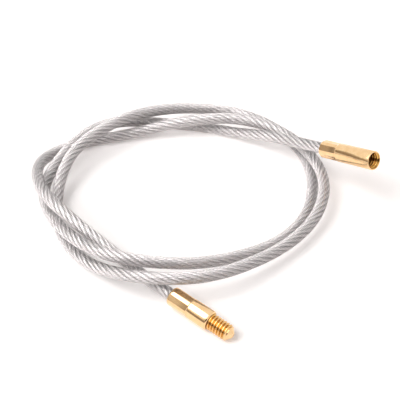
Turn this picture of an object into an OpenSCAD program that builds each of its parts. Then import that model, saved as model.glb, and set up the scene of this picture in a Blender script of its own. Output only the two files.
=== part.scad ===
// Flexible wire-rope pull-through cable, coiled for storage.
// A seven-strand rope under a clear jacket carries a crimped brass fitting
// on each end: a male stud and a female socket of the same thread.
// All lengths are in millimetres and all angles in degrees.

/* [Cable] */
// Diameter over the jacket
cable_d = 3.1; // [2.8:0.05:3.3]
// Thickness of the jacket's wall
jacket_wall = 0.3; // [0.15:0.05:0.4]
// Clearance between neighbouring strands, and between them and the jacket
strand_clearance = 0.03; // [0.02:0.01:0.1]

/* [Coil] */
// Half width of the coil's guide oval, along X
coil_half_width = 37; // [36.5:0.5:40]
// Half depth of the coil's guide oval, along Y
coil_half_depth = 32; // [31.5:0.5:35]
// Straight run of cable that leaves each fitting
straight_run = 4; // [3.5:0.5:5]

/* [Ferrules] */
// Diameter of the turned body of each fitting
body_d = 5; // [4.9:0.1:6]
// Length of the crimped part of each fitting
crimp_len = 6; // [5.5:0.1:7]
// Width of the crimp across its flats
crimp_flats = 4.55; // [4.2:0.05:4.7]
// Width of the crimp across its rounded corners
crimp_corners = 4.8; // [4.75:0.05:4.9]
// Chamfer on the rear edge of the crimp
rear_chamfer = 0.25; // [0.1:0.05:0.4]
// Length of the slope from the crimp's flats up to the body
crimp_runout = 0.3; // [0.2:0.1:1]
// Depth of the cable hole in each fitting
cable_hole_depth = 5; // [3:0.5:6]
// Clearance round the rope in its hole
rope_clearance = 0.05; // [0.03:0.01:0.1]

/* [Male stud] */
// Length of the male fitting's turned body
male_body_len = 5.8; // [5:0.1:10]
// Chamfer on the front edge of the male fitting's body
shoulder_chamfer = 0.3; // [0.1:0.05:0.35]
// Outer diameter of the thread
thread_d = 4.17; // [3.8:0.01:4.3]
// Length of the stud's cylinder
stud_len = 5.3; // [4:0.1:8]
// Length of the stud's blunt tip
tip_len = 1.3; // [0.8:0.1:2]
// Diameter of the flat at the end of the tip
tip_flat_d = 1.2; // [0.6:0.1:1.5]

/* [Female socket] */
// Length of the female fitting's turned body
female_body_len = 11.4; // [11:0.1:16]
// Diameter of the tapped hole's wall
socket_hole_d = 3.44; // [3.2:0.02:3.6]
// Depth of the tapped hole
socket_depth = 9; // [8:0.5:10]
// Diameter of the countersink at the mouth
mouth_d = 4.4; // [4.2:0.1:4.6]
// Chamfer on the outer edge of the mouth
mouth_chamfer = 0.1; // [0.05:0.05:0.15]

/* [Hidden] */
$fn = 64;

steel = "lightsteelblue";
clear = "whitesmoke";
brass = "goldenrod";

cable_r = cable_d / 2;
body_r = body_d / 2;
crimp_r = crimp_corners / 2;
thread_r = thread_d / 2;
crimp_faces = 6;
// How far a cut reaches past the surface that it opens
cut_margin = 1;

// The cable's cross-section is a hexagon with its corners on the round cable
// and a flat on top and below. Seven hexagonal strands fill its bore like cells
// of a honeycomb, the outer six towards its corners.
sides = 6;
flat_share = cos(180 / sides);
jacket_bore_r = cable_r - jacket_wall / flat_share;
rope_r = jacket_bore_r - strand_clearance / flat_share;
strand_pitch = (2 * rope_r * flat_share + strand_clearance) / (1 + 2 * flat_share);
strand_r = (strand_pitch - strand_clearance) / 2 / flat_share;

// Each fitting's pose: the middle of its rear face, the heading of its axis
// about +Z from +X, the axis's climb above the floor, and the turn of the
// crimp about the axis. The male fitting rests on the floor, on the front edge
// of its body or on the end of its stud, whichever reaches lower.
male_rear_x = -7.35;
male_rear_y = -31.5;
male_heading = -38.5;
male_climb = -5;
male_roll = 51;
male_body_end = crimp_len + male_body_len;
male_rear_z = max(
    body_r * cos(male_climb) - (male_body_end - shoulder_chamfer) * sin(male_climb),
    thread_r * cos(male_climb) - (male_body_end + stud_len) * sin(male_climb));
male_rear = [male_rear_x, male_rear_y, male_rear_z];
female_rear_x = 32.4;
female_rear_y = 15;
female_rear_z = 10.9;
female_heading = -46.5;
female_climb = 19.5;
female_roll = 50;
female_rear = [female_rear_x, female_rear_y, female_rear_z];

// The coil winds clockwise seen from above, one guide point every turn_step.
// Each point lies on the guide oval about the coil's centre, moved outwards by
// its entry in drift and raised off the floor by its entry in lift.
coil_centre_x = -6.2;
coil_centre_y = 7.2;
first_angle = -120;
turn_step = 20;
lead_reach = 5;

// From the male fitting under the coil, then once round
drift = [-3, -3, -0.5, 1, 4.5, 0.5, -4.5, -5, -5, -1.5, 1.5, 2.5, 2.5, 1.5, 0.5, 2, 5.5, 6.5,
    // Second turn
    4, 0.5, -2.5, -4.5, -4.5, -5, -3.5, 0, 4, 6.5, 5, 2, -1, -2, -3.5, -4, -2, 0,
    // Last part turn, up to the female fitting
    2.5, 0.5, -1, 0, -1.5, -0.5, 0, -1, -2, -3, -4];
lift = [3, 7.5, 10, 6.5, 1.5, 0, 0.5, 2.5, 4.5, 5, 4, 3, 3.5, 2.5, 2.5, 4, 6, 7,
    // Second turn
    3.5, 0.5, 0, 2.5, 5.5, 6.5, 6.5, 4.5, 2, 0.5, 0, 0, 0, 0, 0, 1.5, 3.5, 6,
    // Last part turn, up to the female fitting
    7.5, 6, 3.5, 2, 3, 4.5, 3, 0, 0, 0, 4.5];

// Unit vector of a heading and a climb
function direction(heading, climb) =
    [cos(climb) * cos(heading), cos(climb) * sin(heading), sin(climb)];

male_axis = direction(male_heading, male_climb);
female_axis = direction(female_heading, female_climb);

// Distance from the guide oval's centre to its edge
function oval_radius(a) =
    coil_half_width * coil_half_depth / norm([coil_half_depth * cos(a), coil_half_width * sin(a)]);

function coil_guide(i) =
    let (a = first_angle - i * turn_step, r = oval_radius(a) + drift[i])
    [coil_centre_x + r * cos(a), coil_centre_y + r * sin(a), cable_r + lift[i]];

// Three guide points in line with a fitting: the curve starts at the middle
// one and leaves along the fitting's axis.
function lead_guides(rear, axis) =
    [for (k = [1, 0, -1]) rear - axis * (straight_run - k * lead_reach)];

function backwards(list) = [for (i = [len(list) - 1 : -1 : 0]) list[i]];

guides = concat(lead_guides(male_rear, male_axis),
    [for (i = [0 : len(drift) - 1]) coil_guide(i)],
    backwards(lead_guides(female_rear, female_axis)));

// Smooth curve drawn along the guide points (a uniform cubic B-spline)
function spline_point(i, t) =
    (guides[i] * pow(1 - t, 3)
    + guides[i + 1] * (3 * pow(t, 3) - 6 * pow(t, 2) + 4)
    + guides[i + 2] * (-3 * pow(t, 3) + 3 * pow(t, 2) + 3 * t + 1)
    + guides[i + 3] * pow(t, 3)) / 6;

spans = len(guides) - 3;
function along(u) =
    let (i = min(floor(u), spans - 1))
    spline_point(i, u - i);

// Centreline with the given number of points to a full turn of the coil
rings_per_turn = 24;
function centreline(per_turn) =
    let (n = round(spans * turn_step / 360 * per_turn))
    concat([male_rear], [for (k = [0 : n]) along(spans * k / n)], [female_rear]);

jacket_path = centreline(rings_per_turn);

// The rope runs on inside both fittings, to just short of the holes' floors.
rope_end = cable_hole_depth - rope_clearance;
rope_path = concat([male_rear + male_axis * rope_end], jacket_path,
    [female_rear + female_axis * rope_end]);

// Level direction to the cable's right at one point of a path
function sideways(path, i) =
    let (d = path[min(i + 1, len(path) - 1)] - path[max(i - 1, 0)])
    [d.y, -d.x, 0] / norm([d.x, d.y]);

// Direction of a path at one point. The ends are square to the fittings.
function forwards(path, i) =
    let (d = i <= 1 ? path[1] - path[0]
        : i >= len(path) - 2 ? path[len(path) - 1] - path[len(path) - 2]
        : path[i + 1] - path[i - 1])
    d / norm(d);

// Ring of points round one point of a path, about an axis set off sideways
// and upwards from it, with corners at multiples of 60 degrees
function ring(path, i, r, side = 0, up = 0) =
    let (f = forwards(path, i),
        s = sideways(path, i) - f * (sideways(path, i) * f),
        x = s / norm(s),
        y = cross(x, f))
    [for (k = [0 : sides - 1])
        path[i] + x * (side + r * cos(k * 360 / sides)) + y * (up + r * sin(k * 360 / sides))];

// Two triangles for each side of a tube between one ring and the next
function tube_walls(rings, first = 0, inside = false) =
    [for (i = [0 : rings - 2], k = [0 : sides - 1])
        let (a = first + i * sides + k,
            b = first + i * sides + (k + 1) % sides,
            c = a + sides,
            d = b + sides)
        each inside ? [[a, c, b], [b, c, d]] : [[a, b, c], [b, d, c]]];

// Solid rod along a path
module swept_rod(path, r, side = 0, up = 0) {
    n = len(path);
    points = [for (i = [0 : n - 1]) each ring(path, i, r, side, up)];
    start = [for (k = [1 : sides - 2]) [0, k + 1, k]];
    last = (n - 1) * sides;
    end = [for (k = [1 : sides - 2]) [last, last + k, last + k + 1]];
    polyhedron(points, concat(tube_walls(n), start, end));
}

// Open tube along a path
module swept_tube(path, outer_r, inner_r) {
    n = len(path);
    inner = n * sides;
    last = (n - 1) * sides;
    points = concat([for (i = [0 : n - 1]) each ring(path, i, outer_r)],
        [for (i = [0 : n - 1]) each ring(path, i, inner_r)]);
    start = [for (k = [0 : sides - 1])
        let (m = (k + 1) % sides)
        each [[k, inner + k, m], [m, inner + k, inner + m]]];
    end = [for (k = [0 : sides - 1])
        let (a = last + k, b = last + (k + 1) % sides)
        each [[a, b, inner + a], [b, inner + b, inner + a]]];
    polyhedron(points, concat(tube_walls(n), tube_walls(n, inner, true), start, end));
}

// Least gap between passes of the cable, measured on points spread along the
// jacket's own centreline. The hexagon reaches further towards its corners
// than towards its flats.
points_per_ring = 6;
function reach(d) =
    let (slope = atan2(abs(d.z), norm([d.x, d.y])))
    cable_r * flat_share / cos(slope % 60 - 30);
function gap(d) = norm(d) - 2 * reach(d);
gap_points = [for (i = [0 : len(jacket_path) - 2], t = [0 : points_per_ring - 1])
    jacket_path[i] + (jacket_path[i + 1] - jacket_path[i]) * t / points_per_ring];
next_pass = round(rings_per_turn / 4) * points_per_ring;
least_gap = min([for (i = [0 : len(gap_points) - 1], j = [i + next_pass : 1 : len(gap_points) - 1])
    gap(gap_points[i] - gap_points[j])]);
echo(least_gap_of_the_coil_to_itself = least_gap);

// Length of the cable between the two fittings
function run(path, i = 0) = i > len(path) - 2 ? 0 : norm(path[i + 1] - path[i]) + run(path, i + 1);
echo(length_of_cable_between_the_fittings = run(centreline(rings_per_turn * points_per_ring)));

// Places a fitting with its rear face's middle at a point and its axis along
// a heading and a climb, turned about that axis by a roll
module on_axis(rear, heading, climb, roll) {
    translate(rear)
        rotate([0, 90 - climb, heading])
            rotate([0, 0, roll])
                children();
}

// Turned and crimped ferrule along +Z from its rear face
module ferrule(body_len, front_chamfer) {
    total = crimp_len + body_len;
    difference() {
        rotate_extrude()
            polygon([[0, 0], [crimp_r - rear_chamfer, 0], [crimp_r, rear_chamfer],
                [crimp_r, crimp_len - crimp_runout], [body_r, crimp_len],
                [body_r, total - front_chamfer], [body_r - front_chamfer, total], [0, total]]);
        crimp_flats_cut();
        translate([0, 0, -cut_margin])
            cylinder(h = cable_hole_depth + cut_margin, r = rope_r + rope_clearance);
    }
}

// The six flats that the crimping jaws leave, each sloping out at the front
module crimp_flats_cut() {
    flat = crimp_flats / 2;
    beyond = body_r + cut_margin;
    for (k = [0 : crimp_faces - 1])
        rotate([0, 0, k * 360 / crimp_faces])
            rotate([90, 0, 0])
                translate([0, 0, -body_r])
                    linear_extrude(body_d)
                        polygon([[flat, -cut_margin], [beyond, -cut_margin], [beyond, crimp_len],
                            [body_r, crimp_len], [flat, crimp_len - crimp_runout]]);
}

module cable_jacket() {
    color(clear) swept_tube(jacket_path, cable_r, jacket_bore_r);
}

module core_strand() {
    color(steel) swept_rod(rope_path, strand_r);
}

// One of the six strands round the core, at its own clock position
module outer_strand(number) {
    a = (number - 1) * 60;
    color(steel)
        swept_rod(rope_path, strand_r, strand_pitch * cos(a), strand_pitch * sin(a));
}

module male_end_fitting() {
    color(brass)
        on_axis(male_rear, male_heading, male_climb, male_roll)
            union() {
                ferrule(male_body_len, shoulder_chamfer);
                translate([0, 0, male_body_end]) cylinder(h = stud_len, r = thread_r);
                translate([0, 0, male_body_end + stud_len])
                    cylinder(h = tip_len, r1 = thread_r, r2 = tip_flat_d / 2);
            }
}

module female_end_fitting() {
    total = crimp_len + female_body_len;
    sink = (mouth_d - socket_hole_d) / 2;
    color(brass)
        on_axis(female_rear, female_heading, female_climb, female_roll)
            difference() {
                ferrule(female_body_len, mouth_chamfer);
                translate([0, 0, total - socket_depth])
                    cylinder(h = socket_depth + cut_margin, d = socket_hole_d);
                translate([0, 0, total - sink])
                    cylinder(h = sink * 2, r1 = socket_hole_d / 2, r2 = socket_hole_d / 2 + sink * 2);
            }
}

cable_jacket();
core_strand();
outer_strand(1);  // outer_strand_1
outer_strand(2);  // outer_strand_2
outer_strand(3);  // outer_strand_3
outer_strand(4);  // outer_strand_4
outer_strand(5);  // outer_strand_5
outer_strand(6);  // outer_strand_6
male_end_fitting();
female_end_fitting();
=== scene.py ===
"""Looks of the coiled wire-rope pull-through cable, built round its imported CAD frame.

Lengths are in metres and angles in degrees, unless a comment says otherwise.
"""

import math

import bmesh
import bpy
import numpy as np
from mathutils import Matrix, Vector


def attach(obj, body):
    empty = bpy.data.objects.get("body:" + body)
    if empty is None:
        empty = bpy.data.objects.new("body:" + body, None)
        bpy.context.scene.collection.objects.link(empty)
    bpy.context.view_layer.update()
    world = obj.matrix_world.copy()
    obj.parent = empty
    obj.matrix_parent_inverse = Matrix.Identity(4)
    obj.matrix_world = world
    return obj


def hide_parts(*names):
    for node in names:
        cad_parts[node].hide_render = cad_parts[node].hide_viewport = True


MM = 0.001
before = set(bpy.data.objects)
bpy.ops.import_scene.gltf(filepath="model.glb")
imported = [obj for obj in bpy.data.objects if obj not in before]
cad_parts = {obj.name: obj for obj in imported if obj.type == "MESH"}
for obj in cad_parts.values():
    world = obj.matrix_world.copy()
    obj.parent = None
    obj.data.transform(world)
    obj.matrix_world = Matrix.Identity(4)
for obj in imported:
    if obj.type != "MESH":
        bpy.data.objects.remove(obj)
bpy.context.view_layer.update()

# ---------------------------------------------------------------- sizes that part.scad has too
# Cable
CABLE_R = 1.55 * MM
JACKET_WALL = 0.3 * MM

# Coil, with a guide point on its oval at every step of the turn
COIL_HALF_WIDTH = 37 * MM
COIL_HALF_DEPTH = 32 * MM
COIL_CENTRE_X = -6.2 * MM
COIL_CENTRE_Y = 7.2 * MM
FIRST_ANGLE = -120
TURN_STEP = 20

# Straight run of cable that leaves each fitting, and the step between the guide points in line with it
STRAIGHT_RUN = 4 * MM
LEAD_REACH = 5 * MM

# How many millimetres each guide point lies outside the oval, and how many it is raised: one line for the
# first turn from the male fitting, one for the second, and one for the part turn up to the female fitting
DRIFT = [-3, -3, -0.5, 1, 4.5, 0.5, -4.5, -5, -5, -1.5, 1.5, 2.5, 2.5, 1.5, 0.5, 2, 5.5, 6.5,
         4, 0.5, -2.5, -4.5, -4.5, -5, -3.5, 0, 4, 6.5, 5, 2, -1, -2, -3.5, -4, -2, 0,
         2.5, 0.5, -1, 0, -1.5, -0.5, 0, -1, -2, -3, -4]
LIFT = [3, 7.5, 10, 6.5, 1.5, 0, 0.5, 2.5, 4.5, 5, 4, 3, 3.5, 2.5, 2.5, 4, 6, 7,
        3.5, 0.5, 0, 2.5, 5.5, 6.5, 6.5, 4.5, 2, 0.5, 0, 0, 0, 0, 0, 1.5, 3.5, 6,
        7.5, 6, 3.5, 2, 3, 4.5, 3, 0, 0, 0, 4.5]

# Ferrules
BODY_R = 2.5 * MM
CRIMP_FACES = 6
CRIMP_LEN = 6 * MM
CRIMP_FLAT_R = 2.275 * MM
CRIMP_CORNER_R = 2.4 * MM
CRIMP_RUNOUT = 0.3 * MM
REAR_CHAMFER = 0.25 * MM
# The radius of the solid rope over its corners, and its clearance in the hole
CABLE_HOLE_R = 1.219 * MM
CABLE_HOLE_DEPTH = 5 * MM

# Male stud
MALE_BODY_LEN = 5.8 * MM
SHOULDER_CHAMFER = 0.3 * MM
THREAD_R = 2.085 * MM
STUD_LEN = 5.3 * MM
TIP_LEN = 1.3 * MM
TIP_FLAT_R = 0.6 * MM

# Female socket
FEMALE_BODY_LEN = 11.4 * MM
SOCKET_R = 1.72 * MM
SOCKET_DEPTH = 9 * MM
MOUTH_R = 2.2 * MM
MOUTH_CHAMFER = 0.1 * MM

# How each fitting lies: the middle of its rear face, its axis's heading about +Z from +X and climb above the
# floor, and the crimp's turn about the axis. The male one's height comes from what it rests on.
MALE_REAR_X = -7.35 * MM
MALE_REAR_Y = -31.5 * MM
MALE_HEADING = -38.5
MALE_CLIMB = -5
MALE_ROLL = 51
FEMALE_REAR_X = 32.4 * MM
FEMALE_REAR_Y = 15 * MM
FEMALE_REAR_Z = 10.9 * MM
FEMALE_HEADING = -46.5
FEMALE_CLIMB = 19.5
FEMALE_ROLL = 50

# ---------------------------------------------------------------- sizes of what is too fine for the CAD
# Rope of seven strands. Round ones that touch would have a third of its radius, and these have a little
# clearance. The core strand is thicker than the six laid round it, and fills the room between them.
ROPE_R = 1.2 * MM
OUTER_STRANDS = 6
STRAND_R = ROPE_R / 3.11
STRAND_RING_R = ROPE_R - STRAND_R
CORE_R = STRAND_RING_R - STRAND_R
# Length of one turn of the strands round the core, and of the wires within a strand
ROPE_LAY = 13.8 * MM
WIRE_LAY = 5.6 * MM
# How far the rope runs into each fitting
ROPE_END = 4.9 * MM

# Each strand has six wires round a middle one. The points of a wire are at these angles from its crest, the
# first one in the valley beside it, and have these shares of the painted shade that darkens the valleys.
WIRES = 6
WIRE_POINTS = [-120, -60, 0, 60]
WIRE_VALLEY_SHADE = [1, 0.3, 0, 0.3]

# Thread: its pitch, how deep it is cut on the stud and in the socket, and its form over one pitch, as points
# of (share of the pitch, share of the cut)
THREAD_PITCH = 0.794 * MM
STUD_CUT = 0.45 * MM
SOCKET_CUT = 0.38 * MM
THREAD_FORM = [
    (0.00, 0.00), (0.10, 0.00), (0.14, 0.05), (0.27, 0.45), (0.40, 0.88), (0.45, 1.00),
    (0.55, 1.00), (0.60, 0.88), (0.73, 0.45), (0.86, 0.05),
]
# Turns of rows that start before a threaded profile and past its end, because a row's last column lies nearly
# a turn away from its first
TURNS_BEFORE = 2
TURNS_AFTER = 4
# Plain stretch at the bottom of the socket, where the tap didn't reach
UNTAPPED = 1.5 * MM

# The cable hole's broken edge and the rounding of the stud's tip
HOLE_EDGE_DEPTH = 0.12 * MM
HOLE_EDGE_WIDTH = 0.1 * MM
TIP_ROUNDING = 0.08 * MM
# Narrow bands beside the edges of a fitting, which keep their shading crisp
EDGE_BAND = 0.03 * MM
FRONT_BAND = 0.05 * MM
REAR_BAND = 0.1 * MM
# Rows that only divide a longer face: a height on the crimp, a share of the ferrule's length, and a share of
# the hole's radius on its floor
CRIMP_ROW = 1 * MM
BODY_ROW = 0.7
HOLE_ROW = 0.7
# How near counts as the same height, and how near counts as the same point
SAME_HEIGHT = 0.01 * MM
SAME_POINT = 0.002 * MM

# How finely the meshes are cut: points to a span of the route, and each tube's step along it and sides
POINTS_PER_SPAN = 40
JACKET_STEP = 0.8 * MM
JACKET_SIDES = 28
STRAND_STEP = 0.35 * MM
CORE_STEP = 1 * MM

# ---------------------------------------------------------------- colours, as linear light
BRASS_DULL = (0.92, 0.60, 0.31)
BRASS_CLEAN = (0.97, 0.68, 0.38)
# Tint of the brass at a painted shade of 0, of a half and of 1, on the stud's thread and in the socket
PAINTED_SHADE_TINTS = [(0, (1, 1, 1)), (0.5, (0.80, 0.67, 0.34)), (1, (0.20, 0.13, 0.07))]
STEEL_DULL = (0.76, 0.73, 0.725)
STEEL_BRIGHT = (0.97, 0.94, 0.935)
# Painted shade in the valleys between the wires
STEEL_VALLEY_SHADE = (0.10, 0.085, 0.085)
# Clear plastic, the haze in it, and the light that it lets through into its shadow
JACKET_TINT = (1, 0.99, 0.99)
JACKET_HAZE = (0.95, 0.93, 0.93)
JACKET_SHADOW = (0.96, 0.96, 0.96)
FLOOR_WHITE = (0.86, 0.84, 0.83)
FLOOR_GLOW = (1, 0.92, 0.90)
FLAG_GLOW = (1, 0.92, 0.84)
WHITE = (1, 1, 1)

# Painted shade on the stud, out of 1: that of the thread's crests, what its roots add, and what the neck adds
# beside the body as a painted shadow, from where it fades out over the neck's length
CREST_DARK = 0.25
ROOT_DARK = 0.45
NECK_DARK = 0.5
NECK_LEN = 0.5 * MM
# Painted shade in the socket: that of the crests at the mouth, what the roots add, and what the whole depth
# adds
SOCKET_CREST_DARK = 0.35
SOCKET_ROOT_DARK = 0.4
SOCKET_DEPTH_DARK = 1.2

# ---------------------------------------------------------------- places and levels of camera and light
# The point that the camera looks at in millimetres, at how many degrees above the floor and how far off it
# stands, and its lens and sensor in millimetres
LOOKED_AT = (-0.7, 6.7, 0)
ELEVATION = 42
DISTANCE = 300 * MM
LENS = 101
SENSOR = 36

# The key light lights the floor and matt surfaces, and metal and clear plastic reflect the softbox
KEY_PLACE = (-0.346, -0.147, 0.518)
SOFTBOX_PLACE = (-0.248, -0.123, 0.595)
# Level of the world's light on matt surfaces
AMBIENT = 0.4

# Half the floor's side. Its glow goes from the near level to the far one between these distances from the
# spot below the key light.
FLOOR_HALF = 1.5
NEAR_KEY = 315 * MM
NEAR_GLOW = 0.18
FAR_FROM_KEY = 650 * MM
FAR_GLOW = 0.78
# Columns of points along the curve of a flag, which is a grey wall seen only in reflections
FLAG_COLUMNS = 60


# ---------------------------------------------------------------- camera
def make_camera():
    """The camera, at the photograph's viewing angle."""
    elevation = math.radians(ELEVATION)
    back = Vector((0, -math.cos(elevation), math.sin(elevation)))
    data = bpy.data.cameras.new("camera")
    data.sensor_width = SENSOR
    data.lens = LENS
    data.clip_start = 0.01
    data.clip_end = 20
    camera = bpy.data.objects.new("camera", data)
    camera.location = Vector(LOOKED_AT) * MM + back * DISTANCE
    camera.rotation_euler = (-back).to_track_quat("-Z", "Y").to_euler()
    bpy.context.scene.collection.objects.link(camera)
    bpy.context.scene.camera = camera


make_camera()


# ---------------------------------------------------------------- where the fittings lie
def direction(heading, climb):
    """Unit vector of a heading and a climb."""
    h = math.radians(heading)
    c = math.radians(climb)
    return np.array([math.cos(c) * math.cos(h), math.cos(c) * math.sin(h), math.sin(c)])


def male_drop(r, along):
    """How far the male fitting reaches below its rear face's middle, at a radius and a distance along it."""
    climb = math.radians(MALE_CLIMB)
    return r * math.cos(climb) - along * math.sin(climb)


MALE_AXIS = direction(MALE_HEADING, MALE_CLIMB)
FEMALE_AXIS = direction(FEMALE_HEADING, FEMALE_CLIMB)
MALE_FACE = CRIMP_LEN + MALE_BODY_LEN
FEMALE_FACE = CRIMP_LEN + FEMALE_BODY_LEN
# The male fitting rests on its body's front edge or on its stud's end, whichever reaches lower.
MALE_REAR_Z = max(male_drop(BODY_R, MALE_FACE - SHOULDER_CHAMFER), male_drop(THREAD_R, MALE_FACE + STUD_LEN))
MALE_REAR = np.array([MALE_REAR_X, MALE_REAR_Y, MALE_REAR_Z])
FEMALE_REAR = np.array([FEMALE_REAR_X, FEMALE_REAR_Y, FEMALE_REAR_Z])


# ---------------------------------------------------------------- route of the cable
def oval_radius(a):
    """Distance from the guide oval's centre to its edge, at an angle in radians."""
    w = COIL_HALF_WIDTH
    d = COIL_HALF_DEPTH
    return w * d / math.hypot(d * math.cos(a), w * math.sin(a))


def coil_guide(i):
    """One guide point of the coil: the oval's, moved out by its drift and raised by its lift."""
    a = math.radians(FIRST_ANGLE - i * TURN_STEP)
    r = oval_radius(a) + DRIFT[i] * MM
    x = COIL_CENTRE_X + r * math.cos(a)
    y = COIL_CENTRE_Y + r * math.sin(a)
    return np.array([x, y, CABLE_R + LIFT[i] * MM])


def lead_guides(rear, axis):
    """Three guide points in line with a fitting. The curve starts at the middle one, along the axis."""
    return [rear - axis * (STRAIGHT_RUN - k * LEAD_REACH) for k in (1, 0, -1)]


def route(inside):
    """Points along the cable's centreline, from that far inside one fitting to as far inside the other."""
    guides = np.array(
        lead_guides(MALE_REAR, MALE_AXIS)
        + [coil_guide(i) for i in range(len(DRIFT))]
        + lead_guides(FEMALE_REAR, FEMALE_AXIS)[::-1]
    )
    t = (np.arange(POINTS_PER_SPAN) / POINTS_PER_SPAN)[:, None]
    points = [MALE_REAR + MALE_AXIS * inside, MALE_REAR]
    # Smooth curve drawn along the guide points, a uniform cubic B-spline
    for g in range(len(guides) - 3):
        a, b, c, d = guides[g : g + 4]
        points.extend((
            a * (1 - t) ** 3
            + b * (3 * t**3 - 6 * t**2 + 4)
            + c * (-3 * t**3 + 3 * t**2 + 3 * t + 1)
            + d * t**3
        ) / 6)
    points.extend([FEMALE_REAR - FEMALE_AXIS * STRAIGHT_RUN, FEMALE_REAR])
    points.append(FEMALE_REAR + FEMALE_AXIS * inside)
    return np.array(points if inside else points[1:-1])


def evenly(points, step):
    """The same line with its points about a step apart, and how far along it each of them lies."""
    run = np.concatenate([[0], np.cumsum(np.linalg.norm(np.diff(points, axis=0), axis=1))])
    s = np.linspace(0, run[-1], int(round(run[-1] / step)) + 1)
    return np.stack([np.interp(s, run, points[:, k]) for k in range(3)], axis=1), s


def unit(v):
    """Each vector at length 1."""
    return v / np.linalg.norm(v, axis=-1, keepdims=True)


def squared_to(forward, v):
    """Unit vectors square to forward, each as near as can be to its v."""
    return unit(v - forward * (v * forward).sum(1, keepdims=True))


def level_frame(points):
    """The level direction to the right and the upward one, both square to a line, at each of its points."""
    forward = unit(np.gradient(points, axis=0))
    level = unit(np.stack([forward[:, 1], -forward[:, 0], np.zeros(len(points))], axis=1))
    side = squared_to(forward, level)
    return side, np.cross(side, forward)


# ---------------------------------------------------------------- meshes
def new_object(name, vertices, faces):
    """A smooth-shaded mesh object, whose place is in its mesh."""
    mesh = bpy.data.meshes.new(name)
    mesh.from_pydata(vertices.tolist(), [], faces)
    mesh.shade_smooth()
    mesh.update()
    obj = bpy.data.objects.new(name, mesh)
    bpy.context.scene.collection.objects.link(obj)
    return obj


def tube_faces(rings, sides, first=0, flip=False):
    """Quads between one ring of points and the next."""
    i, k = np.meshgrid(np.arange(rings - 1), np.arange(sides), indexing="ij")
    a = first + i * sides + k
    b = first + i * sides + (k + 1) % sides
    quads = [a, a + sides, b + sides, b] if flip else [a, b, b + sides, a + sides]
    return np.stack(quads, axis=-1).reshape(-1, 4).tolist()


def end_faces(start, sides, inward, flip=False):
    """Quads across a tube's wall at one end. The bore's ring comes inward points after the outer one."""
    faces = []
    for k in range(sides):
        a = start + k
        b = start + (k + 1) % sides
        c = a + inward
        d = b + inward
        faces.append([a, b, d, c] if flip else [a, c, d, b])
    return faces


def rings_along(points, u_way, v_way, outline):
    """Rings of an outline's points, set off from each point of a line in two directions."""
    u = outline[..., 0:1]
    v = outline[..., 1:2]
    return (points[:, None] + u_way[:, None] * u + v_way[:, None] * v).reshape(-1, 3)


def circle(radius, sides):
    """Outline of a round section, in the form that rings_along takes for one that stays the same."""
    a = np.arange(sides) * 2 * math.pi / sides
    return np.stack([radius * np.cos(a), radius * np.sin(a)], axis=1)[None]


# ---------------------------------------------------------------- the jacket, which is the cord
def make_jacket():
    """Open tube, whose bore has the second material, and the points that it follows."""
    points, _ = evenly(route(0), JACKET_STEP)
    side, up = level_frame(points)
    outer = rings_along(points, side, up, circle(CABLE_R, JACKET_SIDES))
    inner = rings_along(points, side, up, circle(CABLE_R - JACKET_WALL, JACKET_SIDES))
    n = len(points)
    faces = tube_faces(n, JACKET_SIDES, flip=True)
    faces += tube_faces(n, JACKET_SIDES, first=len(outer))
    faces += end_faces(0, JACKET_SIDES, len(outer))
    faces += end_faces((n - 1) * JACKET_SIDES, JACKET_SIDES, len(outer), flip=True)
    jacket = new_object("jacket", np.concatenate([outer, inner]), faces)
    walls = (n - 1) * JACKET_SIDES
    for face in list(jacket.data.polygons)[walls : 2 * walls]:
        face.material_index = 1
    return jacket, points


jacket, cord_path = make_jacket()


# ---------------------------------------------------------------- the rope
def strand_outline(radius):
    """Outline of a strand, with a row of points for each of the wires laid round the middle one."""
    w = radius / 3
    outline = []
    for m in range(WIRES):
        a = m * 2 * math.pi / WIRES
        for b in np.radians(WIRE_POINTS):
            x = 2 * w * math.cos(a) + w * math.cos(a + b)
            y = 2 * w * math.sin(a) + w * math.sin(a + b)
            outline.append([x, y])
    return np.array(outline)


def turned(outline, angles):
    """The outline turned by each of the angles, in radians: one set of points for each."""
    c = np.cos(angles)[:, None]
    s = np.sin(angles)[:, None]
    x = outline[None, :, 0]
    y = outline[None, :, 1]
    return np.stack([x * c - y * s, x * s + y * c], axis=-1)


def laid_line(points, s, phase, ring_r):
    """A strand's line, laid right-handed round the rope's, with the ways outwards and round at each point.

    s is how far along the rope each point lies, and phase is where in its turn the strand starts, in radians.
    """
    side, up = level_frame(points)
    a = (2 * math.pi * s / ROPE_LAY + phase)[:, None]
    out = side * np.cos(a) - up * np.sin(a)
    line = points + out * ring_r
    forward = unit(np.gradient(line, axis=0))
    out = squared_to(forward, out)
    return line, out, np.cross(forward, out)


def make_strand(name, phase, ring_r, radius, step):
    """One strand, closed at both ends, whose wires are laid left-handed."""
    points, s = evenly(route(ROPE_END), step)
    line, out, around = laid_line(points, s, phase, ring_r)
    outline = strand_outline(radius)
    sides = len(outline)
    vertices = rings_along(line, out, around, turned(outline, -2 * math.pi * s / WIRE_LAY + phase))
    faces = tube_faces(len(line), sides)
    faces.append(list(range(sides))[::-1])
    faces.append(list(range(len(vertices) - sides, len(vertices))))
    strand = new_object(name, vertices, faces)
    # Painted shade, full in the valleys between the wires and none on their crests
    valley_shade = strand.data.attributes.new("valley_shade", "FLOAT", "POINT")
    valley_shade.data.foreach_set("value", np.tile(WIRE_VALLEY_SHADE, len(vertices) // len(WIRE_VALLEY_SHADE)))
    return strand


strands = [
    make_strand(f"laid_strand_{k + 1}", 2 * math.pi * k / OUTER_STRANDS, STRAND_RING_R, STRAND_R, STRAND_STEP)
    for k in range(OUTER_STRANDS)
]
core = make_strand("laid_core", 0, 0, CORE_R, CORE_STEP)

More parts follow.
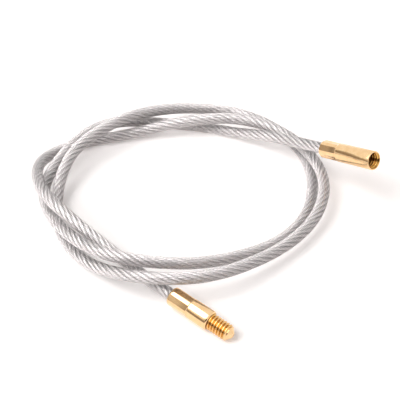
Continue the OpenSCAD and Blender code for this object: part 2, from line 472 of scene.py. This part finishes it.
# ---------------------------------------------------------------- the fittings
# Angle from the middle of a crimped flat to its edge. The columns of points round a fitting are at the angles
# in SECTOR from the middle of each flat, three close together at each edge. COLUMNS has them in radians.
FLAT_EDGE = math.degrees(math.acos(CRIMP_FLAT_R / CRIMP_CORNER_R))
BESIDE_EDGE = 1
SECTOR = [
    -24, -FLAT_EDGE - BESIDE_EDGE, -FLAT_EDGE, -FLAT_EDGE + BESIDE_EDGE, -9, 0,
    9, FLAT_EDGE - BESIDE_EDGE, FLAT_EDGE, FLAT_EDGE + BESIDE_EDGE, 24, 30,
]
COLUMNS = np.radians([k * 360 / CRIMP_FACES + a for k in range(CRIMP_FACES) for a in SECTOR])
PER_PITCH = len(THREAD_FORM)


def from_flat(theta):
    """Angle in radians from the middle of the nearest of the crimp's flats."""
    half = math.pi / CRIMP_FACES
    return (theta + half) % (2 * half) - half


def level_row(z, r):
    """A row of points round the axis at one height, as (heights, radii). r is one radius or one for each."""
    return np.full(len(COLUMNS), z), np.full(len(COLUMNS), r)


def hole_rows():
    """Rows of the cable hole, from the middle of its floor out to the fitting's rear face."""
    return [
        level_row(CABLE_HOLE_DEPTH, 0),
        level_row(CABLE_HOLE_DEPTH, CABLE_HOLE_R * HOLE_ROW),
        level_row(CABLE_HOLE_DEPTH, CABLE_HOLE_R),
        level_row(HOLE_EDGE_DEPTH, CABLE_HOLE_R),
        level_row(0, CABLE_HOLE_R + HOLE_EDGE_WIDTH),
        level_row(0, CRIMP_CORNER_R - REAR_CHAMFER - REAR_BAND),
    ]


def ferrule_rows(total, front_chamfer, face_r):
    """Rows of a ferrule, from its cable hole round the outside to its front face, and there in to face_r."""
    flats_end = CRIMP_LEN - CRIMP_RUNOUT
    profile = np.array([
        (0, CRIMP_CORNER_R - REAR_CHAMFER), (REAR_CHAMFER, CRIMP_CORNER_R), (flats_end, CRIMP_CORNER_R),
        (CRIMP_LEN, BODY_R), (total - front_chamfer, BODY_R), (total, BODY_R - front_chamfer),
    ]).T
    heights = [0, CRIMP_ROW, CRIMP_LEN / 2, CRIMP_LEN - CRIMP_RUNOUT / 2, total * BODY_ROW, total - EDGE_BAND]
    for edge in (REAR_CHAMFER / 2, REAR_CHAMFER, flats_end, CRIMP_LEN, total - front_chamfer):
        heights += [edge - EDGE_BAND, edge + EDGE_BAND]
    rows = hole_rows()
    for z in sorted(heights):
        turned_r = np.interp(z, *profile)
        flat_r = np.interp(z, [flats_end, CRIMP_LEN], [CRIMP_FLAT_R, BODY_R]) / np.cos(from_flat(COLUMNS))
        rows.append(level_row(z, np.minimum(turned_r, flat_r)))
    rows.append(level_row(total, BODY_R - front_chamfer - EDGE_BAND))
    rows.append(level_row(total, face_r))
    return rows


def thread_rows(profile, cut_radius, hand):
    """Rows that follow a profile of (height, radius) points and lie along a right-hand thread.

    hand is 1 where the profile climbs and -1 where it goes down a hole. cut_radius gives the radius for a
    height, the profile's own radius there and the share of the cut. What would lie past the profile's ends is
    drawn together on them.
    """
    z, r = np.array(profile).T
    step = np.where(np.diff(z) != 0, np.abs(np.diff(z)), np.abs(np.diff(r)))
    run = np.concatenate([[0], np.cumsum(step)])
    rows = []
    for turn in range(-TURNS_BEFORE, int(run[-1] / THREAD_PITCH) + TURNS_AFTER):
        for share, cut in THREAD_FORM:
            s = (turn + share + hand * COLUMNS / (2 * math.pi)) * THREAD_PITCH
            s = np.clip(s, 0, run[-1])
            height = np.interp(s, run, z)
            rows.append((height, cut_radius(height, np.interp(s, run, r), cut)))
    return rows


def grid_faces(rows, first, seam=0):
    """Quads between rows of points. The last column meets the first one seam rows on, as a thread needs."""
    n = len(COLUMNS)
    faces = []
    for i in range(rows - 1):
        for j in range(n):
            on = seam if j == n - 1 else 0
            if 0 <= i + on and i + on + 1 < rows:
                a = first + i * n + j
                b = first + (i + on) * n + (j + 1) % n
                faces.append([a, b, b + n, a + n])
    return faces


def note_finish(mesh, painted_shade):
    """Keep on the mesh what the brass reads at each point.

    That is the point's place in millimetres before the fitting is laid down, its painted shade, and 1 where
    it is on the outside of the crimp.
    """
    local = np.array([v.co for v in mesh.vertices])
    z = local[:, 2]
    r = np.hypot(local[:, 0], local[:, 1])
    crimped = (r > CRIMP_FLAT_R - REAR_BAND) & (z < CRIMP_LEN)
    mesh.attributes.new("turned", "FLOAT_VECTOR", "POINT").data.foreach_set("vector", (local / MM).ravel())
    # Painted shade on the stud's thread and neck and in the socket
    mesh.attributes.new("painted_shade", "FLOAT", "POINT").data.foreach_set("value", painted_shade(z, r))
    mesh.attributes.new("crimped", "FLOAT", "POINT").data.foreach_set("value", crimped.astype(float))


def weld(mesh):
    """Join points that lie together, and turn every face outwards."""
    bm = bmesh.new()
    bm.from_mesh(mesh)
    bmesh.ops.remove_doubles(bm, verts=bm.verts, dist=SAME_POINT)
    bmesh.ops.recalc_face_normals(bm, faces=bm.faces)
    bm.to_mesh(mesh)
    bm.free()


def on_axis(rear, heading, climb, roll):
    """Matrix that puts what stands on +Z on a fitting's axis, turned about it by the roll."""
    return (
        Matrix.Translation(Vector(rear))
        @ Matrix.Rotation(math.radians(heading), 4, "Z")
        @ Matrix.Rotation(math.radians(90 - climb), 4, "Y")
        @ Matrix.Rotation(math.radians(roll), 4, "Z")
    )


def make_fitting(name, plain, threaded, hand, painted_shade, pose):
    """A turned piece from its plain rows and its threaded rows, welded where they meet.

    hand is as in thread_rows, painted_shade gives the painted shade on the thread at a height and a radius,
    and pose is the matrix that lays the piece down.
    """
    rings = [np.stack([r * np.cos(COLUMNS), r * np.sin(COLUMNS), z], axis=1) for z, r in plain + threaded]
    faces = grid_faces(len(plain), 0)
    faces += grid_faces(len(threaded), len(plain) * len(COLUMNS), hand * PER_PITCH)
    fitting = new_object(name, np.concatenate(rings), faces)
    weld(fitting.data)
    note_finish(fitting.data, painted_shade)
    fitting.data.transform(pose)
    fitting.data.update()
    return fitting


def male_painted_shade(z, r):
    """Painted shade on the stud's thread, deeper at its roots, and a painted shadow on its neck next to the
    body.
    """
    on_stud = (z > MALE_FACE - SAME_HEIGHT) & (z < MALE_FACE + STUD_LEN)
    cut = CREST_DARK + ROOT_DARK * np.clip((THREAD_R - r) / STUD_CUT, 0, 1)
    neck = NECK_DARK * np.clip(1 - (z - MALE_FACE) / NECK_LEN, 0, 1)
    return np.where(on_stud, np.clip(cut + neck, 0, 1), 0)


def make_male():
    """Ferrule with a threaded stud and a blunt tip."""
    face_r = BODY_R - SHOULDER_CHAMFER - FRONT_BAND
    stud_end = MALE_FACE + STUD_LEN
    end = stud_end + TIP_LEN
    profile = [(MALE_FACE, face_r), (MALE_FACE, THREAD_R), (stud_end, THREAD_R),
               (end - TIP_ROUNDING, TIP_FLAT_R + TIP_ROUNDING), (end, TIP_FLAT_R - TIP_ROUNDING), (end, 0)]

    def cut_radius(z, r, cut):
        return np.where(z > MALE_FACE, np.minimum(r, THREAD_R - cut * STUD_CUT), r)

    plain = ferrule_rows(MALE_FACE, SHOULDER_CHAMFER, face_r)
    threaded = thread_rows(profile, cut_radius, 1)
    pose = on_axis(MALE_REAR, MALE_HEADING, MALE_CLIMB, MALE_ROLL)
    return make_fitting("male_fitting", plain, threaded, 1, male_painted_shade, pose)


SOCKET_FLOOR = FEMALE_FACE - SOCKET_DEPTH


def female_painted_shade(z, r):
    """Painted shade in the socket's thread, deeper at its roots and growing with its depth."""
    in_socket = (z > SOCKET_FLOOR - SAME_HEIGHT) & (z < FEMALE_FACE - SAME_HEIGHT) & (r < MOUTH_R)
    cut = SOCKET_CREST_DARK + SOCKET_ROOT_DARK * (r - SOCKET_R) / SOCKET_CUT
    depth = SOCKET_DEPTH_DARK * (FEMALE_FACE - z) / SOCKET_DEPTH
    return np.where(in_socket, np.clip(cut + depth, 0, 1), 0)


def make_female():
    """Ferrule with a threaded socket, countersunk at its mouth."""
    face_r = BODY_R - MOUTH_CHAMFER - FRONT_BAND
    profile = [(FEMALE_FACE, face_r), (FEMALE_FACE, MOUTH_R), (FEMALE_FACE - MOUTH_R + SOCKET_R, SOCKET_R),
               (SOCKET_FLOOR, SOCKET_R), (SOCKET_FLOOR, 0)]

    def cut_radius(z, r, cut):
        fade = np.clip((z - SOCKET_FLOOR - UNTAPPED) / THREAD_PITCH, 0, 1)
        on_wall = (z < FEMALE_FACE) & (z > SOCKET_FLOOR)
        return np.where(on_wall, np.maximum(r, SOCKET_R + cut * fade * SOCKET_CUT), r)

    plain = ferrule_rows(FEMALE_FACE, MOUTH_CHAMFER, face_r)
    threaded = thread_rows(profile, cut_radius, -1)
    pose = on_axis(FEMALE_REAR, FEMALE_HEADING, FEMALE_CLIMB, FEMALE_ROLL)
    return make_fitting("female_fitting", plain, threaded, -1, female_painted_shade, pose)


male = make_male()
female = make_female()


# ---------------------------------------------------------------- materials
class Nodes:
    """The node tree of a material or of the world, with short calls to add and link nodes."""

    def __init__(self, tree, output):
        self.tree = tree
        self.tree.nodes.clear()
        self.output = self.add(output)

    def add(self, kind, inputs=None, **settings):
        """A node with its settings, and with each input linked to a socket or set to a value."""
        node = self.tree.nodes.new(kind)
        for key, value in settings.items():
            setattr(node, key, value)
        for key, value in (inputs or {}).items():
            if isinstance(value, bpy.types.NodeSocket):
                self.tree.links.new(value, node.inputs[key])
            else:
                node.inputs[key].default_value = value
        return node

    def surface(self, shader):
        """Link a shader to the tree's output."""
        self.tree.links.new(shader.outputs[0], self.output.inputs["Surface"])

    def place(self):
        """Each point's place in the scene, in metres."""
        return self.add("ShaderNodeNewGeometry").outputs["Position"]

    def attribute(self, name, output="Fac"):
        """What the mesh holds at each point under a name."""
        return self.add("ShaderNodeAttribute", attribute_name=name).outputs[output]

    def ramp(self, fac, stops):
        """Colour that changes along fac from stop to stop, each a (position, colour)."""
        node = self.add("ShaderNodeValToRGB", {"Fac": fac})
        elements = node.color_ramp.elements
        while len(elements) < len(stops):
            elements.new(0.5)
        for element, (position, colour) in zip(elements, stops):
            element.position = position
            element.color = (*colour, 1)
        return node.outputs["Color"]

    def span(self, value, low, high, start=0, end=1):
        """A value between start and end, brought to between low and high."""
        return self.add("ShaderNodeMapRange", {
            "Value": value, "From Min": start, "From Max": end, "To Min": low, "To Max": high,
        }).outputs["Result"]

    def maths(self, operation, *values):
        """The result of a calculation with the values."""
        return self.add("ShaderNodeMath", dict(enumerate(values)), operation=operation).outputs[0]

    def mix(self, factor, a, b, **settings):
        """b mixed into a by the factor. They are numbers, unless the settings make them colours."""
        return self.add("ShaderNodeMix", {"Factor": factor, "A": a, "B": b}, **settings).outputs["Result"]

    def noise(self, vector, scale, detail=2.0, roughness=0.5):
        """Soft noise from 0 to 1."""
        return self.add("ShaderNodeTexNoise", {
            "Vector": vector, "Scale": scale, "Detail": detail, "Roughness": roughness,
        }).outputs["Fac"]

    def stretched(self, vector, scale):
        """Coordinates scaled along each axis. A noise on them is long where the scale is small."""
        return self.add("ShaderNodeMapping", {"Vector": vector, "Scale": scale}).outputs["Vector"]

    def bump(self, height, strength, distance):
        """Normal of a surface with small heights on it."""
        return self.add("ShaderNodeBump", {
            "Height": height, "Strength": strength, "Distance": distance,
        }).outputs["Normal"]

    def metal(self, colour, roughness, normal):
        """Shader of bare metal."""
        return self.add("ShaderNodeBsdfPrincipled", {
            "Base Color": colour, "Metallic": 1.0, "Roughness": roughness, "Normal": normal,
        })

    def seen_directly(self):
        """1 for rays from the camera and for those that metal and clear plastic send on, and 0 for others."""
        path = self.add("ShaderNodeLightPath").outputs
        either = self.maths("MAXIMUM", path["Is Camera Ray"], path["Is Glossy Ray"])
        return self.maths("MAXIMUM", either, path["Is Transmission Ray"])


def new_material(name):
    """A material, and its nodes."""
    material = bpy.data.materials.new(name)
    material.use_nodes = True
    return material, Nodes(material.node_tree, "ShaderNodeOutputMaterial")


def brass_material():
    """Bright brass with turning marks, crimp tool marks, faint stains and painted shade on its thread and in
    its socket.
    """
    material, n = new_material("brass")
    place = n.attribute("turned", "Vector")
    lathe = n.noise(n.stretched(place, (0.12, 0.12, 1)), scale=9, detail=3)
    die = n.noise(n.stretched(place, (1, 1, 0.12)), scale=5, detail=4, roughness=0.6)
    marks = n.mix(n.attribute("crimped"), lathe, die)
    stains = n.noise(place, scale=0.8, detail=4, roughness=0.6)
    bright = n.ramp(stains, [(0.3, BRASS_DULL), (0.7, BRASS_CLEAN)])
    # Painted shade on the stud's thread and neck and in the socket, multiplied into the brass
    dark = n.ramp(n.attribute("painted_shade"), PAINTED_SHADE_TINTS)
    colour = n.mix(1.0, bright, dark, data_type="RGBA", blend_type="MULTIPLY")
    rough = n.span(n.noise(place, scale=2.2, detail=5, roughness=0.65), low=0.07, high=0.19)
    normal = n.bump(marks, strength=0.25, distance=0.03 * MM)
    n.surface(n.metal(colour, rough, normal))
    return material


def steel_material():
    """Drawn steel wire, with painted shade in the valleys between the wires."""
    material, n = new_material("rope_wire")
    place = n.place()
    tone = n.noise(place, scale=1400, detail=3, roughness=0.6)
    bright = n.ramp(tone, [(0.3, STEEL_DULL), (0.7, STEEL_BRIGHT)])
    # Painted shade in the valleys between the wires
    colour = n.mix(n.attribute("valley_shade"), bright, (*STEEL_VALLEY_SHADE, 1), data_type="RGBA")
    rough = n.span(n.noise(place, scale=2500), low=0.34, high=0.48)
    normal = n.bump(n.noise(place, scale=9000), strength=0.1, distance=0.004 * MM)
    n.surface(n.metal(colour, rough, normal))
    return material


def jacket_skin_material():
    """Clear extruded plastic, which bends light so that the rope seems to fill it. Lamps shine through."""
    material, n = new_material("clear_jacket")
    place = n.place()
    plastic = n.add("ShaderNodeBsdfGlass", {
        "Color": (*JACKET_TINT, 1), "Roughness": 0.015, "IOR": 1.48,
        "Normal": n.bump(n.noise(place, scale=700), strength=0.15, distance=0.05 * MM)})
    haze = n.add("ShaderNodeBsdfDiffuse", {"Color": (*JACKET_HAZE, 1)})
    amount = n.span(n.noise(place, scale=900, detail=3), low=0.02, high=0.08)
    cloudy = n.add("ShaderNodeMixShader", {0: amount, 1: plastic.outputs[0], 2: haze.outputs[0]})
    clear = n.add("ShaderNodeBsdfTransparent", {"Color": (*JACKET_SHADOW, 1)})
    in_shadow = n.add("ShaderNodeLightPath").outputs["Is Shadow Ray"]
    n.surface(n.add("ShaderNodeMixShader", {0: in_shadow, 1: cloudy.outputs[0], 2: clear.outputs[0]}))
    return material


def jacket_bore_material():
    """The bore, where the plastic lies against the rope and so has no surface of its own to see."""
    material, n = new_material("jacket_bore")
    n.surface(n.add("ShaderNodeBsdfTransparent"))
    return material


def floor_material():
    """Matt white, with a glow that makes up for what the key light lacks and leaves the shadows."""
    material, n = new_material("floor")
    below_key = (*KEY_PLACE[:2], 0)
    away = n.add("ShaderNodeVectorMath", {0: n.place(), 1: below_key}, operation="DISTANCE").outputs["Value"]
    level = n.span(away, low=NEAR_GLOW, high=FAR_GLOW, start=NEAR_KEY, end=FAR_FROM_KEY)
    strength = n.maths("MULTIPLY", n.seen_directly(), level)
    matt = n.add("ShaderNodeBsdfDiffuse", {"Color": (*FLOOR_WHITE, 1)})
    glow = n.add("ShaderNodeEmission", {"Color": (*FLOOR_GLOW, 1), "Strength": strength})
    n.surface(n.add("ShaderNodeAddShader", {0: matt.outputs[0], 1: glow.outputs[0]}))
    return material


def flag_material(name, low, high, start, top):
    """Grey that goes from the level low to the level high between the heights start and top."""
    material, n = new_material(name)
    height = n.add("ShaderNodeSeparateXYZ", {"Vector": n.place()}).outputs["Z"]
    level = n.span(height, low, high, start, top)
    n.surface(n.add("ShaderNodeEmission", {"Color": (*FLAG_GLOW, 1), "Strength": level}))
    return material


def paint(obj, *materials):
    """Give an object its materials, in the order of its material slots."""
    for material in materials:
        obj.data.materials.append(material)


brass = brass_material()
steel = steel_material()
paint(jacket, jacket_skin_material(), jacket_bore_material())
for piece in [*strands, core]:
    paint(piece, steel)
for piece in (male, female):
    paint(piece, brass)


# ---------------------------------------------------------------- what rides on what, and which CAD part each piece replaces
def stand_for(piece, node):
    """Let a piece ride on the one body and take the place of a CAD node, which is hidden."""
    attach(piece, "root")
    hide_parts(node)


for number, strand in enumerate(strands, 1):
    stand_for(strand, f"outer_strand_{number}")
stand_for(core, "core_strand")
stand_for(male, "male_end_fitting")
stand_for(female, "female_end_fitting")
stand_for(jacket, "cable_jacket")


# ---------------------------------------------------------------- stage and light
def make_floor():
    """A wide square, which the part stands in the middle of."""
    h = FLOOR_HALF
    corners = np.array([(-h, -h, 0), (h, -h, 0), (h, h, 0), (-h, h, 0)])
    floor = new_object("floor", corners, [[0, 1, 2, 3]])
    paint(floor, floor_material())


def make_flag(name, radius, height, first, last, material):
    """A grey wall round part of the set, from one angle to another, that metal reflects as the room there."""
    a = np.radians(np.linspace(first, last, FLAG_COLUMNS))
    foot = np.stack([radius * np.cos(a), radius * np.sin(a), np.zeros(FLAG_COLUMNS)], axis=1)
    faces = [[k, k + 1, FLAG_COLUMNS + k + 1, FLAG_COLUMNS + k] for k in range(FLAG_COLUMNS - 1)]
    flag = new_object(name, np.concatenate([foot, foot + (0, 0, height)]), faces)
    paint(flag, material)
    flag.visible_camera = False
    flag.visible_diffuse = False
    flag.visible_transmission = False
    flag.visible_shadow = False


def area_light(name, place, power, width, height, roll=0):
    """A rectangle of light that faces the middle of the floor, turned about its own axis by the roll."""
    data = bpy.data.lights.new(name, "AREA")
    data.shape = "RECTANGLE"
    data.size = width
    data.size_y = height
    data.energy = power
    light = bpy.data.objects.new(name, data)
    light.location = place
    aim = (-Vector(place)).to_track_quat("-Z", "Y").to_matrix().to_4x4()
    light.rotation_euler = (aim @ Matrix.Rotation(math.radians(roll), 4, "Z")).to_euler()
    bpy.context.scene.collection.objects.link(light)
    return light


def make_world():
    """White where it is seen directly, and dimmer as light on matt surfaces."""
    world = bpy.data.worlds.new("studio")
    bpy.context.scene.world = world
    world.use_nodes = True
    n = Nodes(world.node_tree, "ShaderNodeOutputWorld")
    level = n.maths("MULTIPLY_ADD", n.seen_directly(), 1 - AMBIENT, AMBIENT)
    n.surface(n.add("ShaderNodeBackground", {"Color": (*WHITE, 1), "Strength": level}))


make_floor()
low_grey = flag_material("low_grey", low=0.29, high=0.55, start=0.11, top=0.25)
make_flag("low_flag", radius=0.6, height=0.25, first=150, last=300, material=low_grey)
front_grey = flag_material("front_grey", low=0.05, high=0.15, start=0.3, top=0.55)
make_flag("front_flag", radius=0.58, height=0.55, first=242, last=298, material=front_grey)
softbox = area_light("softbox", SOFTBOX_PLACE, power=3.4, width=0.5, height=0.66, roll=21)
softbox.visible_diffuse = False
key = area_light("key", KEY_PLACE, power=3.6, width=0.4, height=0.4)
key.visible_glossy = False
make_world()
bpy.context.scene.view_settings.view_transform = "Standard"
